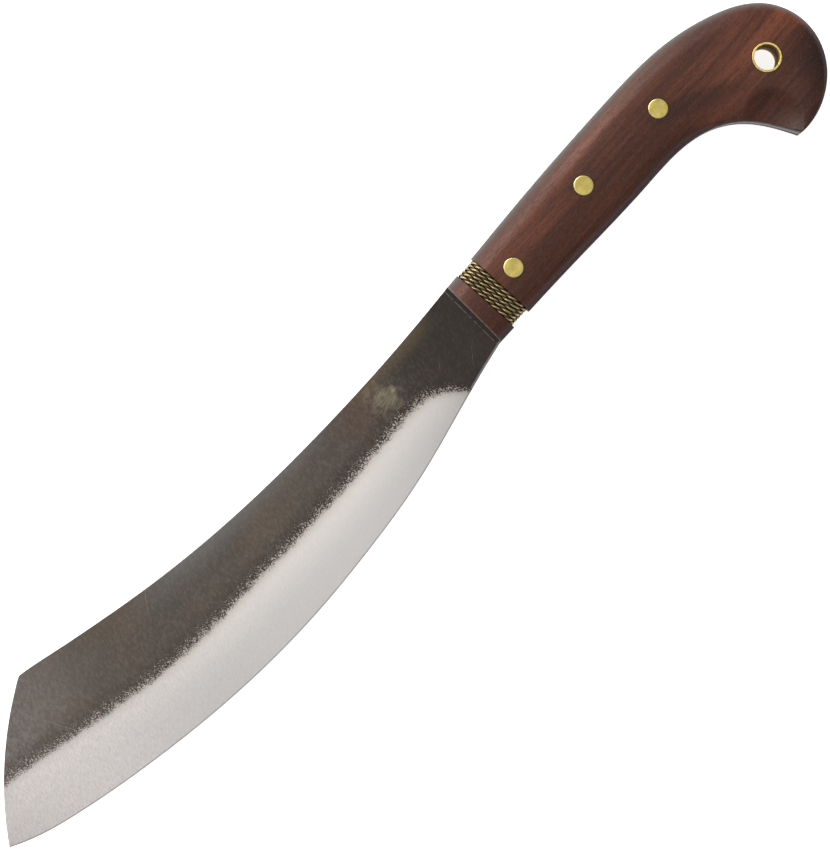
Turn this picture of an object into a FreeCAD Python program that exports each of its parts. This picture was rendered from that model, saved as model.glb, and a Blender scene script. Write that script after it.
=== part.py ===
"""A short parang: a full-tang chopping knife with wooden scales, three pins, a lanyard tube and a wire wrap.

Millimetres. The knife lies on its side: +X runs to the tip, +Y to the cutting edge, +Z out of its left side.
x = 0 is the front of the handle, y = 0 runs through the grip and z = 0 is the middle of the steel.
"""
import FreeCAD, Part
import math
import os

V = FreeCAD.Vector

# Blade and tang
BLADE_LENGTH = 261.2      # front of the handle to the tip
STEEL = 4.8               # stock thickness
EDGE = 0.5                # thickness left along the cutting edge
EDGE_DROP = 31.5          # centre line down to the deepest point of the edge
TIP_DROP = 5.5            # centre line down to the tip
CLIP_LENGTH = 49.6        # tip back to the corner where the spine ends
CLIP_BOW = 3.5            # how far the clipped end bows out of its chord
CORNER_RISE = 34.6        # centre line up to that corner
CORNER_ROUND = 1.5
GRIND_START = 20.4        # front of the handle to where the ground bevel begins
GRIND_RUN_IN = 20.0       # length over which the bevel climbs to its full height
GRIND_TOP = 7.0           # centre line down to the top of the bevel, near the handle
GRIND_CLIMB = 20.0        # how far the top of the bevel climbs from there to the clipped end

# Handle
HANDLE_LENGTH = 162.0     # front of the handle to the butt
HANDLE_THICK = 24.0       # over both scales
FRONT_SPINE = 13.7        # centre line up to the spine, at the front
FRONT_BELLY = 14.5        # centre line down to the belly, at the front
FRONT_LEAN = 1.4          # how much further forward the front reaches at the belly
GRIP_SPINE = 16.4         # centre line up to the spine, where the grip is widest
GRIP_BELLY = 15.7         # centre line down to the belly there
BEAK_DROP = 44.7          # centre line down to the point of the beak
BEAK_FORWARD = 31.45      # butt forward to the point of the beak
SPINE_ROUND = 7.0         # rounding of the scales along spine and butt
BELLY_ROUND = 5.0         # the same along the belly
BEAK_ROUND = 1.2          # the same at the point of the beak
FRONT_ROUND = 0.6         # the same at the front
DISH_RADIUS = 11.5        # rim of the shallow dish in each scale beside the beak
DISH_DEPTH = 2.0
DISH_FORWARD = 36.4       # butt forward to the middle of the dish
DISH_DROP = 33.5          # centre line down to the middle of the dish

# Fastenings
PIN_DIAMETER = 7.4
PIN_PLACES = {"front_pin": (-22.3, -0.4), "middle_pin": (-61.9, -1.6), "rear_pin": (-101.2, -0.3)}
TUBE_DIAMETER = 11.1
TUBE_WALL = 0.8
TUBE_FORWARD = 20.0       # butt forward to the axis of the lanyard tube
TUBE_DROP = 16.6          # centre line down to that axis
TUBE_CHAMFER = 0.3        # inside the tube's mouths
HOLE_CLEARANCE = 0.02     # around a pin or tube, on the radius

# Wire wrap
WIRE = 1.56               # diameter of the twisted pair
WIRE_TURNS = 5
WIRE_SPACING = 0.06       # between one turn and the next
WIRE_CLEARANCE = 0.04     # between the wire and its groove or hole
GROOVE_BACK = 6.4         # front of the handle back to the groove
GROOVE_DEPTH = 2.2
GROOVE_CORNER = 4.0       # corner radius of the groove's floor
TUCK = 5.0                # how deep each end of the wire is tucked into its hole
TUCK_PLACE = 4.0          # centre line to each of these two holes

# Lines drawn through a few points. Along the blade each point is a share of BLADE_LENGTH, and its height
# a share of the named rise or drop. On the handle the points are distances from the front or the butt.
EDGE_LINE = [(0.07, 0.565), (0.15, 0.715), (0.24, 0.86), (0.34, 0.95), (0.46, 1.0), (0.61, 0.945),
             (0.76, 0.765), (0.9, 0.5), (0.96, 0.337)]
SPINE_LINE = [(0.72, 0.83), (0.6, 0.623), (0.45, 0.45), (0.3, 0.37), (0.15, 0.353)]
GRIND_LINE = [(0.0, 0.0), (0.38, 0.01), (0.57, 0.09), (0.68, 0.235), (0.77, 0.47), (0.85, 0.73), (1.05, 1.05)]
POMMEL_SPINE = [(43.0, 0.91), (23.0, 0.585), (5.0, -0.152)]
POMMEL_BUTT = [(0.0, 0.389), (5.0, 0.731), (15.0, 0.924)]
POMMEL_BELLY = [(36.2, 0.79), (40.2, 0.65), (49.6, 0.465), (62.0, 0.37)]


def curve(points):
    """A smooth curve through points of the outline."""
    spline = Part.BSplineCurve()
    spline.interpolate([V(x, y, 0) for x, y in points])
    return spline


def handle_back():
    """Front corner at the spine, back over the grip and round the butt to the point of the beak."""
    butt = -HANDLE_LENGTH
    points = [(-FRONT_LEAN / 2, -FRONT_SPINE)]
    points += [(0.29 * butt, -0.96 * GRIP_SPINE), (0.56 * butt, -GRIP_SPINE)]
    points += [(butt + x, -share * GRIP_SPINE) for x, share in POMMEL_SPINE]
    points += [(butt + x, share * BEAK_DROP) for x, share in POMMEL_BUTT]
    points.append((butt + BEAK_FORWARD, BEAK_DROP))
    return curve(points)


def handle_belly():
    """Point of the beak, forward along the grip to the front corner at the belly."""
    butt = -HANDLE_LENGTH
    points = [(butt + BEAK_FORWARD, BEAK_DROP)]
    points += [(butt + x, share * BEAK_DROP) for x, share in POMMEL_BELLY]
    points += [(0.48 * butt, GRIP_BELLY), (0.22 * butt, 0.95 * GRIP_BELLY), (FRONT_LEAN / 2, FRONT_BELLY)]
    return curve(points)


def cutting_edge():
    """Front corner at the belly, out along the cutting edge to the tip."""
    points = [(FRONT_LEAN / 2, FRONT_BELLY)]
    points += [(x * BLADE_LENGTH, y * EDGE_DROP) for x, y in EDGE_LINE]
    points.append((BLADE_LENGTH, TIP_DROP))
    return curve(points)


def blade_spine():
    """Corner at the end of the spine, back to the front corner of the handle."""
    points = [(BLADE_LENGTH - CLIP_LENGTH, -CORNER_RISE)]
    points += [(x * BLADE_LENGTH, -y * CORNER_RISE) for x, y in SPINE_LINE]
    points.append((-FRONT_LEAN / 2, -FRONT_SPINE))
    return curve(points)


def clipped_end():
    """Tip back up to the corner of the spine, bowed a little outwards."""
    tip = V(BLADE_LENGTH, TIP_DROP, 0)
    corner = V(BLADE_LENGTH - CLIP_LENGTH, -CORNER_RISE, 0)
    chord = corner - tip
    outward = V(-chord.y, chord.x, 0).normalize() * CLIP_BOW
    return Part.Arc(tip, (tip + corner) * 0.5 + outward, corner)


def steel_outline():
    """Edges round the blade and the tang."""
    curves = [handle_back(), handle_belly(), cutting_edge(), clipped_end(), blade_spine()]
    return [c.toShape() for c in curves]


def handle_outline():
    """Edges round the handle: spine, butt, beak, belly and front."""
    back = handle_back()
    belly = handle_belly()
    reach, share = POMMEL_BUTT[0]
    butt = back.parameter(V(reach - HANDLE_LENGTH, share * BEAK_DROP, 0))
    reach, share = POMMEL_BELLY[-1]
    throat = belly.parameter(V(reach - HANDLE_LENGTH, share * BEAK_DROP, 0))
    edges = [back.toShape(back.FirstParameter, butt), back.toShape(butt, back.LastParameter)]
    edges += [belly.toShape(belly.FirstParameter, throat), belly.toShape(throat, belly.LastParameter)]
    front = Part.LineSegment(belly.value(belly.LastParameter), back.value(back.FirstParameter))
    return edges + [front.toShape()]


def slab(edges, low, high):
    """A plate of the given outline between two heights."""
    face = Part.Face(Part.Wire(edges))
    face.translate(V(0, 0, low))
    return face.extrude(V(0, 0, high - low))


def upright(x, y, radius, low, high):
    """A round bar along Z."""
    return Part.makeCylinder(radius, high - low, V(x, y, low))


def tube_place():
    return TUBE_FORWARD - HANDLE_LENGTH, TUBE_DROP


def drill(solid):
    """Cuts the holes for the pins and the lanyard tube."""
    reach = HANDLE_THICK
    for x, y in PIN_PLACES.values():
        solid = solid.cut(upright(x, y, PIN_DIAMETER / 2 + HOLE_CLEARANCE, -reach, reach))
    x, y = tube_place()
    return solid.cut(upright(x, y, TUBE_DIAMETER / 2 + HOLE_CLEARANCE, -reach, reach))


def groove_core():
    """Half height and half thickness of what is left inside the wire groove."""
    half_height = (FRONT_SPINE + FRONT_BELLY) / 2 - GROOVE_DEPTH
    return half_height, HANDLE_THICK / 2 - GROOVE_DEPTH


def rounded_bar(half_y, half_z, corner, back, width):
    """A bar along X with a rounded rectangular section."""
    box = Part.makeBox(width, 2 * half_y, 2 * half_z, V(back, -half_y, -half_z))
    return box.makeFillet(corner, [e for e in box.Edges if abs(e.tangentAt(e.FirstParameter).x) > 0.9])


def groove():
    """The ring that is cut away for the wire, all round the handle."""
    width = WIRE_TURNS * (WIRE + WIRE_SPACING)
    back = -GROOVE_BACK - width
    half_y, half_z = groove_core()
    around = Part.makeBox(width, 4 * half_y, 4 * half_z, V(back, -2 * half_y, -2 * half_z))
    return around.cut(rounded_bar(half_y, half_z, GROOVE_CORNER, back, width))


def height_at(spline, x):
    """Height of a curve where it passes x, carried on straight past its end."""
    end = spline.LastParameter
    if x >= spline.value(end).x:
        slope = spline.tangent(end)[0]
        return spline.value(end).y + (x - spline.value(end).x) * slope.y / slope.x
    low, high = spline.FirstParameter, end
    for _ in range(50):
        middle = (low + high) / 2
        if spline.value(middle).x < x:
            low = middle
        else:
            high = middle
    return spline.value(low).y


def bevel_cutter():
    """What is ground away above the steel: a wedge that follows the edge and runs out near the handle."""
    edge = cutting_edge()
    top = curve([(x * BLADE_LENGTH, GRIND_TOP - y * GRIND_CLIMB) for x, y in GRIND_LINE])
    beyond = 2.0
    fall = (STEEL - EDGE) / 2
    stations = [GRIND_START + GRIND_RUN_IN * t for t in (0.0, 0.15, 0.35, 0.6, 1.0)]
    stations += [x * BLADE_LENGTH for x in (0.25, 0.4, 0.55, 0.68, 0.78, 0.88, 1.02)]
    sections = []
    for x in stations:
        y_edge = height_at(edge, x)
        y_top = height_at(top, x)
        slope = fall / (y_edge - y_top)
        run_in = min((x - GRIND_START) / GRIND_RUN_IN, 1.0)
        y_top += (y_edge + beyond / 2 - y_top) * (1.0 - run_in) ** 2.5
        inner = V(x, y_top - beyond / 2, STEEL / 2 + slope * beyond / 2)
        outer = V(x, y_edge + beyond, STEEL / 2 - slope * (y_edge + beyond - y_top))
        sections.append(Part.makePolygon([inner, outer, V(x, outer.y, inner.z), inner]))
    return Part.makeLoft(sections, True, False)


def is_spine_corner(edge):
    """True for the upright edge where the spine meets the clipped end."""
    corner = V(BLADE_LENGTH - CLIP_LENGTH, -CORNER_RISE, 0)
    return all(V(v.X, v.Y, 0).distanceToPoint(corner) < 1e-3 for v in edge.Vertexes)


def blade():
    """Blade and full tang in one piece: plate, bevels on both sides, holes and the notches for the wire."""
    plate = slab(steel_outline(), -STEEL / 2, STEEL / 2)
    plate = plate.makeFillet(CORNER_ROUND, [e for e in plate.Edges if is_spine_corner(e)])
    cutter = bevel_cutter()
    steel = plate.cut(cutter).cut(cutter.mirror(V(0, 0, 0), V(0, 0, 1)))
    return drill(steel.cut(groove()))


def rounded_top(plate):
    """Rounds the outer rim of a scale, with radii that run down to a sharper point at the beak."""
    wall = 0.9 * (HANDLE_THICK - STEEL) / 2
    spine = min(SPINE_ROUND, wall)
    belly = min(BELLY_ROUND, wall)
    rounds = [(spine, spine), (spine, BEAK_ROUND), (BEAK_ROUND, belly), (belly, belly)]
    rounds.append((FRONT_ROUND, FRONT_ROUND))
    rim = [i + 1 for i, e in enumerate(plate.Edges) if e.BoundBox.ZMin > HANDLE_THICK / 2 - 1e-3]
    document = FreeCAD.newDocument()
    base = document.addObject("Part::Feature", "plate")
    base.Shape = plate
    fillet = document.addObject("Part::Fillet", "rim")
    fillet.Base = base
    fillet.Edges = [(edge, start, end) for edge, (start, end) in zip(rim, rounds)]
    document.recompute()
    shape = fillet.Shape.Solids[0].copy()
    FreeCAD.closeDocument(document.Name)
    return shape


def wire_route():
    """Centre line of the wire: hole, five turns that step forward on the right side, hole."""
    half_y, half_z = groove_core()
    offset = WIRE_CLEARANCE + WIRE / 2
    y = half_y + offset
    z = half_z + offset
    pitch = WIRE + WIRE_SPACING
    turns = [-GROOVE_BACK - pitch * (i + 0.5) for i in range(WIRE_TURNS)]
    first = turns[0]
    last = turns[-1]
    route = [V(first, -TUCK_PLACE, TUCK - z), V(first, -TUCK_PLACE, -z)]
    for x in turns:
        route += [V(x, -y, -z), V(x, -y, z), V(x, y, z), V(x, y, -z)]
    route += [V(last, TUCK_PLACE, -z), V(last, TUCK_PLACE, TUCK - z)]
    tight = WIRE / 2 + WIRE_CLEARANCE / 2
    bends = [tight] + [GROOVE_CORNER + offset] * (len(route) - 4) + [tight]
    return route, bends


def bent_path(route, bends):
    """Straight runs joined by tangent arcs, one radius for each inner point."""
    edges = []
    start = route[0]
    for before, corner, after, radius in zip(route, route[1:], route[2:], bends):
        back = (before - corner).normalize()
        forward = (after - corner).normalize()
        half = back.getAngle(forward) / 2
        reach = radius / math.tan(half)
        inward = (back + forward).normalize() * (radius / math.sin(half) - radius)
        edges.append(Part.LineSegment(start, corner + back * reach).toShape())
        edges.append(Part.Arc(corner + back * reach, corner + inward, corner + forward * reach).toShape())
        start = corner + forward * reach
    edges.append(Part.LineSegment(start, route[-1]).toShape())
    return Part.Wire(edges)


def wire_wrap():
    """The twisted wire as one round wire, wound in its groove with both ends tucked in."""
    route, bends = wire_route()
    ring = Part.Wire(Part.makeCircle(WIRE / 2, route[0], route[1] - route[0]))
    return bent_path(route, bends).makePipeShell([ring], True, False)


def tuck_holes():
    """The two blind holes in the right scale that hold the ends of the wire."""
    route, _ = wire_route()
    radius = WIRE / 2 + WIRE_CLEARANCE
    holes = []
    for end in (route[0], route[-1]):
        holes.append(upright(end.x, end.y, radius, -HANDLE_THICK, end.z + WIRE_CLEARANCE))
    return holes


def dish():
    """The ball that dishes the left scale beside the beak."""
    ball = (DISH_RADIUS ** 2 + DISH_DEPTH ** 2) / (2 * DISH_DEPTH)
    height = HANDLE_THICK / 2 - DISH_DEPTH + ball
    return Part.makeSphere(ball, V(DISH_FORWARD - HANDLE_LENGTH, DISH_DROP, height))


def left_scale():
    """The scale on the +Z side: rounded, dished, drilled and grooved."""
    scale = rounded_top(slab(handle_outline(), STEEL / 2, HANDLE_THICK / 2))
    return drill(scale.cut(dish())).cut(groove())


def right_scale():
    """The same on the -Z side, with the holes for the wire's ends."""
    scale = left_scale().mirror(V(0, 0, 0), V(0, 0, 1))
    for hole in tuck_holes():
        scale = scale.cut(hole)
    return scale


def pin(x, y):
    return upright(x, y, PIN_DIAMETER / 2, -HANDLE_THICK / 2, HANDLE_THICK / 2)


def lanyard_tube():
    """A tube through the butt with a small chamfer inside each mouth."""
    x, y = tube_place()
    radius = TUBE_DIAMETER / 2
    half = HANDLE_THICK / 2
    tube = upright(x, y, radius, -half, half).cut(upright(x, y, radius - TUBE_WALL, -half, half))
    wide = radius - TUBE_WALL + TUBE_CHAMFER
    mouth = Part.makeCone(wide, wide - TUBE_CHAMFER, TUBE_CHAMFER, V(x, y, -half))
    return tube.cut(mouth).cut(mouth.mirror(V(0, 0, 0), V(0, 0, 1)))


def parts():
    """Every piece by name."""
    pieces = {"blade": blade(), "left_scale": left_scale(), "right_scale": right_scale()}
    for name, (x, y) in PIN_PLACES.items():
        pieces[name] = pin(x, y)
    pieces["lanyard_tube"] = lanyard_tube()
    pieces["wire_wrap"] = wire_wrap()
    return pieces


os.makedirs("parts", exist_ok=True)
for name, piece in parts().items():
    solids = piece.Solids
    shape = solids[0] if len(solids) == 1 else piece
    shape.exportStep("parts/" + name + ".step")
    print(name, len(solids), "solid", round(shape.Volume / 1000, 2), "cm3")
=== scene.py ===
import math

import bmesh
import bpy
import numpy as np
from mathutils import Matrix, Vector


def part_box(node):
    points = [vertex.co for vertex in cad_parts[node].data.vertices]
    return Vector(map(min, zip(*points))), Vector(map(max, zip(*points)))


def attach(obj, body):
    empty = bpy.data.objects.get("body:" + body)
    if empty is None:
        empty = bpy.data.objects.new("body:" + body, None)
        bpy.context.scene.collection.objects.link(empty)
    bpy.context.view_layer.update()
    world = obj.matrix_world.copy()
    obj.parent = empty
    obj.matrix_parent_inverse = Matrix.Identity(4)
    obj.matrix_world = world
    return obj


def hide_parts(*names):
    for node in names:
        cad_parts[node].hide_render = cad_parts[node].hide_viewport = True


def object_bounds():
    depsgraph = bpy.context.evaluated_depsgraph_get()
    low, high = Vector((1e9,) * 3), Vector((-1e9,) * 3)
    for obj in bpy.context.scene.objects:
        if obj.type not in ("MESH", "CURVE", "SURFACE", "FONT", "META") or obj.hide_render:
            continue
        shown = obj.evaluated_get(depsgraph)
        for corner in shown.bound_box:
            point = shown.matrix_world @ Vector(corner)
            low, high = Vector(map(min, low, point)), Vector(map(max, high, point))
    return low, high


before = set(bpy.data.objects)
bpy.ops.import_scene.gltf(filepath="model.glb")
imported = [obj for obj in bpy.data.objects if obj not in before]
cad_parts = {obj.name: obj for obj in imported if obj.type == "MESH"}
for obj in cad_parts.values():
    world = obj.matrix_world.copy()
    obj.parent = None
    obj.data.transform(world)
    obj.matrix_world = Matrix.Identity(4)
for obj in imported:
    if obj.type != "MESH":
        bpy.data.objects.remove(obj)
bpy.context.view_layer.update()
scene = bpy.context.scene
mm = 0.001
hair = 0.001 * mm   # points nearer than this are the same point


class Signal:
    # wraps one socket, so that shader maths can be written as plain expressions
    def __init__(self, paint, socket):
        self.paint = paint
        self.socket = socket

    def __add__(self, other):
        return self.paint.math("ADD", self, other)

    def __radd__(self, other):
        return self.paint.math("ADD", other, self)

    def __sub__(self, other):
        return self.paint.math("SUBTRACT", self, other)

    def __rsub__(self, other):
        return self.paint.math("SUBTRACT", other, self)

    def __mul__(self, other):
        return self.paint.math("MULTIPLY", self, other)

    def __rmul__(self, other):
        return self.paint.math("MULTIPLY", other, self)

    def __truediv__(self, other):
        return self.paint.math("DIVIDE", self, other)

    def __pow__(self, power):
        return self.paint.math("POWER", self, power)


class Paint:
    # one procedural material: its nodes, its links and the shader at its end
    def __init__(self, name):
        self.material = bpy.data.materials.new(name)
        self.material.use_nodes = True
        self.tree = self.material.node_tree
        self.tree.nodes.clear()
        point = self.node("ShaderNodeTexCoord").outputs["Object"]
        scaled = self.node("ShaderNodeVectorMath", {"operation": "SCALE"}, {0: point, "Scale": 1 / mm})
        self.point = scaled.outputs[0]  # millimetres in the knife's own frame
        parts = self.node("ShaderNodeSeparateXYZ", {}, {0: self.point}).outputs
        self.x, self.y, self.z = (Signal(self, socket) for socket in parts)

    def node(self, kind, settings=None, sockets=None):
        made = self.tree.nodes.new(kind)
        for key, setting in (settings or {}).items():
            if key == "stops":
                self.setStops(made.color_ramp, setting)
            else:
                setattr(made, key, setting)
        for key, given in (sockets or {}).items():
            given = given.socket if isinstance(given, Signal) else given
            if isinstance(given, bpy.types.NodeSocket):
                self.tree.links.new(given, made.inputs[key])
            elif made.inputs[key].type == "RGBA":
                made.inputs[key].default_value = (*given[:3], 1)
            else:
                made.inputs[key].default_value = given
        return made

    def setStops(self, ramp, stops):
        while len(ramp.elements) < len(stops):
            ramp.elements.new(0.5)
        for element, (place, colour) in zip(ramp.elements, stops):
            element.position = place
            element.color = (*colour, 1)

    def math(self, operation, *given):
        made = self.node("ShaderNodeMath", {"operation": operation}, dict(enumerate(given)))
        return Signal(self, made.outputs[0])

    def vector(self, x, y, z):
        return self.node("ShaderNodeCombineXYZ", {}, {0: x, 1: y, 2: z}).outputs[0]

    def noise(self, scale, stretch=(1, 1, 1), turn=0, shift=(0, 0, 0), detail=2.0, roughness=0.5, at=None):
        # scale is in features per millimetre, stretch draws them out along an axis, turn is in degrees
        turning = (0, 0, math.radians(turn))
        where = {0: at or self.point, "Location": shift, "Rotation": turning, "Scale": stretch}
        place = self.node("ShaderNodeMapping", {"vector_type": "TEXTURE"}, where).outputs[0]
        sockets = {"Vector": place, "Scale": scale, "Detail": detail, "Roughness": roughness}
        return Signal(self, self.node("ShaderNodeTexNoise", {}, sockets).outputs[0])

    def away(self, x, y):
        # distance from an upright axis
        flat = self.vector(self.x, self.y, 0)
        made = self.node("ShaderNodeVectorMath", {"operation": "DISTANCE"}, {0: flat, 1: (x, y, 0)})
        return Signal(self, made.outputs["Value"])

    def within(self, signal, low, high, soft):
        # one between low and high, fading to nothing over the soft distance
        return self.ease(signal, low - soft, low) * self.ease(signal, high, high + soft, 1, 0)

    def attribute(self, name):
        return Signal(self, self.node("ShaderNodeAttribute", {"attribute_name": name}).outputs["Fac"])

    def ease(self, signal, low, high, start=0.0, end=1.0):
        # smooth step from start to end while signal goes from low to high
        sockets = {0: signal, 1: low, 2: high, 3: start, 4: end}
        made = self.node("ShaderNodeMapRange", {"interpolation_type": "SMOOTHSTEP"}, sockets)
        return Signal(self, made.outputs[0])

    def mix(self, factor, first, second):
        return self.node("ShaderNodeMix", {"data_type": "RGBA"}, {0: factor, 6: first, 7: second}).outputs[2]

    def coats(self, colour, shades, masks):
        # lays the named shades over a colour in turn, each as strongly as its mask says
        for name, mask in masks.items():
            colour = self.mix(mask, colour, shade(*shades[name]))
        return colour

    def ramp(self, signal, stops):
        return self.node("ShaderNodeValToRGB", {"stops": stops}, {0: signal}).outputs[0]

    def bump(self, height, strength, distance):
        sockets = {"Height": height, "Strength": strength, "Distance": distance}
        return self.node("ShaderNodeBump", {}, sockets).outputs[0]

    def finish(self, **sockets):
        named = {key.replace("_", " "): given for key, given in sockets.items()}
        shader = self.node("ShaderNodeBsdfPrincipled", {}, named)
        self.node("ShaderNodeOutputMaterial", {}, {"Surface": shader.outputs[0]})
        return self.material


def shade(red, green, blue):
    # screen colour, 0 to 255, to linear light
    return tuple(((c / 255 + 0.055) / 1.055) ** 2.4 if c > 10 else c / 3295 for c in (red, green, blue))


def meshObject(name, verts, faces):
    mesh = bpy.data.meshes.new(name)
    mesh.from_pydata([tuple(v * mm for v in vert) for vert in verts], [], faces)
    made = bpy.data.objects.new(name, mesh)
    scene.collection.objects.link(made)
    return made


def cleanUp(piece, sharpAngle=35):
    # merges doubles, drops collapsed faces, turns every face outwards and keeps edges above the angle hard
    work = bmesh.new()
    work.from_mesh(piece.data)
    bmesh.ops.remove_doubles(work, verts=work.verts, dist=2 * hair)
    bmesh.ops.dissolve_degenerate(work, edges=work.edges, dist=hair)
    bmesh.ops.recalc_face_normals(work, faces=work.faces)
    work.to_mesh(piece.data)
    work.free()
    piece.data.shade_smooth()
    piece.data.set_sharp_from_angle(angle=math.radians(sharpAngle))


def shellOf(name, top, bottom):
    # closed shell between two grids of points that share their columns and rows
    columns, rows = top.shape[:2]
    verts = np.concatenate([top.reshape(-1, 3), bottom.reshape(-1, 3)])
    index = np.arange(columns * rows).reshape(columns, rows)
    under = index + columns * rows
    faces = []
    for c in range(columns - 1):
        for r in range(rows - 1):
            faces.append((index[c, r], index[c + 1, r], index[c + 1, r + 1], index[c, r + 1]))
            faces.append((under[c, r], under[c, r + 1], under[c + 1, r + 1], under[c + 1, r]))
        for r in (0, rows - 1):
            faces.append((index[c, r], under[c, r], under[c + 1, r], index[c + 1, r]))
    for c in (0, columns - 1):
        for r in range(rows - 1):
            faces.append((index[c, r], index[c, r + 1], under[c, r + 1], under[c, r]))
    return meshObject(name, verts, [tuple(int(i) for i in face) for face in faces])


def turned(name, centre, profile, sides):
    # turns a closed profile of (radius, height) round an upright axis
    verts = []
    for step in range(sides):
        angle = 2 * math.pi * step / sides
        for radius, height in profile:
            verts.append((centre[0] + radius * math.cos(angle), centre[1] + radius * math.sin(angle), height))
    count = len(profile)
    faces = []
    for step in range(sides):
        for k in range(count):
            here = step * count
            there = (step + 1) % sides * count
            after = (k + 1) % count
            faces.append((here + k, there + k, there + after, here + after))
    return meshObject(name, verts, faces)


def chainFrom(edges, start):
    # walks along linked edges and returns their points in order, in millimetres
    links = {}
    for edge in edges:
        a, b = edge.verts
        links.setdefault(a, []).append(b)
        links.setdefault(b, []).append(a)
    here = start(links)
    path = [here]
    seen = {here}
    while True:
        ahead = [v for v in links[here] if v not in seen]
        if not ahead:
            return np.array([v.co for v in path]) / mm
        here = ahead[0]
        seen.add(here)
        path.append(here)


def smoothLine(points, step=0.2):
    # smooth line through points, sampled evenly enough for interpolation
    gaps = np.linalg.norm(np.diff(points, axis=0), axis=1)
    slopes = np.diff(points, axis=0) / gaps[:, None]
    tangents = np.vstack([slopes[:1], slopes, slopes[-1:]])
    before, after = np.append(gaps[:1], gaps), np.append(gaps, gaps[-1:])
    tangents = (tangents[:-1] * after[:, None] + tangents[1:] * before[:, None]) / (before + after)[:, None]
    made = []
    for k, gap in enumerate(gaps):
        t = np.linspace(0, 1, max(2, int(gap / step) + 1), endpoint=False)[:, None]
        first = (2 * t ** 3 - 3 * t ** 2 + 1) * points[k] + (t ** 3 - 2 * t ** 2 + t) * gap * tangents[k]
        second = (3 * t ** 2 - 2 * t ** 3) * points[k + 1] + (t ** 3 - t ** 2) * gap * tangents[k + 1]
        made.append(first + second)
    return np.vstack(made + [points[-1:]])


def lengthAlong(line):
    # how far along the line each of its points lies
    return np.append(0, np.cumsum(np.linalg.norm(np.diff(line[:, :2], axis=0), axis=1)))


def alongLine(line, distances):
    # points at the given distances along a line
    place = lengthAlong(line)
    return np.stack([np.interp(distances, place, line[:, k]) for k in range(3)], axis=1)


def readSteel():
    # outline of the steel seen from its left side, and the line where its ground bevel begins
    work = bmesh.new()
    work.from_mesh(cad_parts["blade"].data)
    bmesh.ops.remove_doubles(work, verts=work.verts, dist=hair)
    work.normal_update()
    steep, flat = 0.5, 0.9999   # how far a face's normal points up
    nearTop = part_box("blade")[1].z - 0.1 * mm
    rim, crest = [], []
    for edge in work.edges:
        if len(edge.link_faces) == 2:
            low, high = sorted(face.normal.z for face in edge.link_faces)
            if low < steep < high:
                rim.append(edge)
            if steep < low < flat < high and min(v.co.z for v in edge.verts) > nearTop:
                crest.append(edge)
    outline = chainFrom(rim, lambda links: max(links, key=lambda v: v.co.x))
    grind = chainFrom(crest, lambda links: min(links, key=lambda v: v.co.x))
    work.free()
    following = np.roll(outline, -1, axis=0)
    if np.sum(outline[:, 0] * following[:, 1] - outline[:, 1] * following[:, 0]) < 0:
        outline = np.vstack([outline[:1], outline[:0:-1]])   # always along the cutting edge first
    return outline, grind


def splitOutline(outline):
    # edge, belly, back and spine lines, in the order in which they follow each other round from the tip
    wireLow, wireHigh = (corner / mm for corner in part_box("wire_wrap"))
    x, fromMiddle = outline[:, 0], np.abs(outline[:, 1])
    inNotch = (x < 0) & (x > wireLow.x - 0.5) & (fromMiddle < wireHigh.y - 1)   # the steel under the wire
    outline = np.vstack([outline[~inNotch], outline[:1]])
    ways = np.diff(outline[:, :2], axis=0)
    ways /= np.linalg.norm(ways, axis=1)[:, None]
    turns = np.einsum("ij,ij->i", ways[1:], ways[:-1])
    beak = int(np.argmin(turns)) + 1   # the sharpest corner but the tip
    fronts = [k for k, point in enumerate(outline) if abs(point[0]) < 1]
    marks = [0, fronts[0], beak, fronts[-1], len(outline) - 1]
    return [smoothLine(outline[a:b + 1]) for a, b in zip(marks, marks[1:])]


outline, grindLine = readSteel()
edgeLine, bellyLine, backLine, spineLine = splitOutline(outline)
edgeLine = edgeLine[::-1]   # now front of the handle to the tip, as the spine line
backLine = backLine[::-1]   # now front of the handle to the beak, as the belly line
print("steel outline read, overall length", round(float(np.ptp(outline[:, 0])), 1))


handle = {
    "top": (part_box("left_scale")[1] / mm).z,
    "tang": (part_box("left_scale")[0] / mm).z,
    "crown": 2.2,        # how far the face falls from its middle line to spine and belly
    "spineRound": 7.0,
    "bellyRound": 5.0,
    "beakRound": 1.2,
    "throatRound": 1.5,
    "throatAt": -98,     # from here back the sections fan round into the beak
    "fullWidth": 26,     # narrower sections than this are crowned less
    "rimLeft": 0.15,     # least wood above the tang
    "frontRound": 0.7,
    "grooveRound": 0.25,
    "grooveGap": 0.03,   # at each side of the wire
    "coreRound": 4.0,
    "coreY": 12.1,       # the wire beds a little into the wood
    "coreZ": 9.95,
    "dish": {
        "centre": (-125.6, 33.3),
        "radius": 11.5,
        "depth": 3.4,
        "below": 0.5,    # its rim lies this far under the face
        "blend": 0.35,
        "runOut": 0.4,   # stretches it towards the blade
    },
}


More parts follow.
